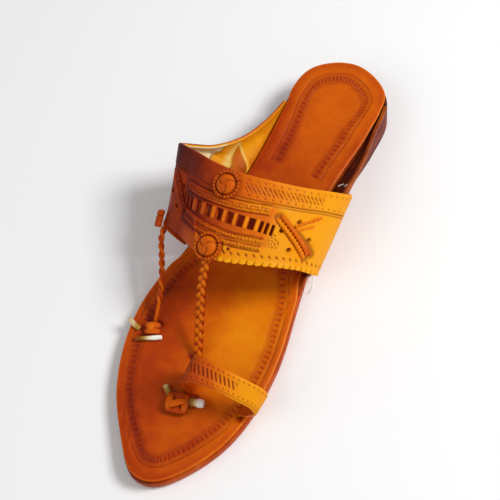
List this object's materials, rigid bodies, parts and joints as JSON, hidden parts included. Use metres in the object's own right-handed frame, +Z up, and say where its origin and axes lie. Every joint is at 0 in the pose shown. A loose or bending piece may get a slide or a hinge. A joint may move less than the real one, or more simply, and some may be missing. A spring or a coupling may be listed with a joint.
{
  "type": "kolhapuri sandal",
  "caption": "Flat leather sandal with a tooled instep band, a plaited centre strap, a side thong and a big-toe loop on a stacked-heel leather sole.",
  "frame": {"origin": "on the floor, under the middle of the sandal's bounding box", "axes": "+Z up, +Y towards the heel, -Y towards the toe, +X towards the foot's inner side"},
  "size_m": [0.104, 0.2708, 0.072],
  "materials": {
    "sole_leather": "waxed red-brown cut edge",
    "insole_leather": "oiled orange tan, stamped",
    "strap_leather": "oiled golden tan, tooled",
    "pale_leather": "undyed flesh side",
    "thread": "waxed cotton thread"
  },
  "bodies": {
    "root": {"outsole": "sole_leather", "heel_lift_1": "sole_leather", "heel_lift_2": "sole_leather", "heel_lift_3": "sole_leather", "insole": "insole_leather", "ear_lateral": "strap_leather", "ear_medial": "strap_leather", "upper": "strap_leather", "toe_loop": "strap_leather", "rosette_rear": "strap_leather", "rosette_front": "strap_leather", "thong_tab": "strap_leather", "toe_knot": "strap_leather", "toe_knot_end_inner": "pale_leather", "toe_knot_end_outer": "pale_leather", "side_knot": "strap_leather", "side_knot_end": "pale_leather"}
  },
  "joints": []
}
